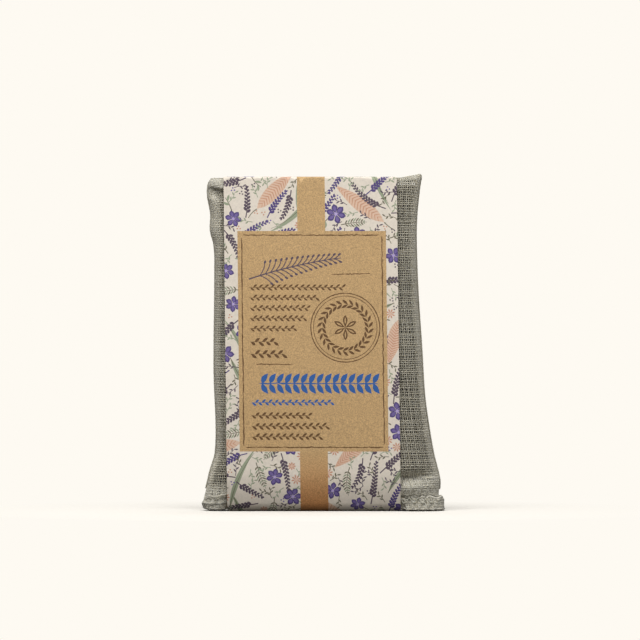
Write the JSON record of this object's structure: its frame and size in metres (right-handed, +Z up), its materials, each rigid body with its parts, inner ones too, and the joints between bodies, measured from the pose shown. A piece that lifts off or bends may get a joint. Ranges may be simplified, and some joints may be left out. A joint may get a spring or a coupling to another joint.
{
  "type": "lavender sachet",
  "caption": "Filled gauze pouch that stands upright in a wrapped card sleeve with a floral print. The sleeve slides off sideways.",
  "frame": {"origin": "centre of the sleeve's flat base, on the surface that the sachet stands on", "axes": "+Z up, +X to the right seen from the front, and the front with the label area faces -Y"},
  "size_m": [0.0877, 0.025, 0.1212],
  "materials": {
    "gauze": "matte",
    "cotton_thread": "matte",
    "lavender_buds": "matte",
    "printed_card": "matte",
    "dried_glue": "satin"
  },
  "bodies": {
    "pouch": {"pouch_front_panel": "gauze", "pouch_back_panel": "gauze", "lavender_filling": "lavender_buds", "left_seam_thread": "cotton_thread", "right_seam_thread": "cotton_thread", "top_seam_thread": "cotton_thread", "closing_seam_thread": "cotton_thread"},
    "sleeve": {"card_sleeve": "printed_card", "glue_strip": "dried_glue"}
  },
  "joints": [
    {"name": "sleeve_slide", "type": "slide", "parent": "pouch", "child": "sleeve", "axis": [-1, 0, 0], "range_m": [0, 0.08]}
  ]
}
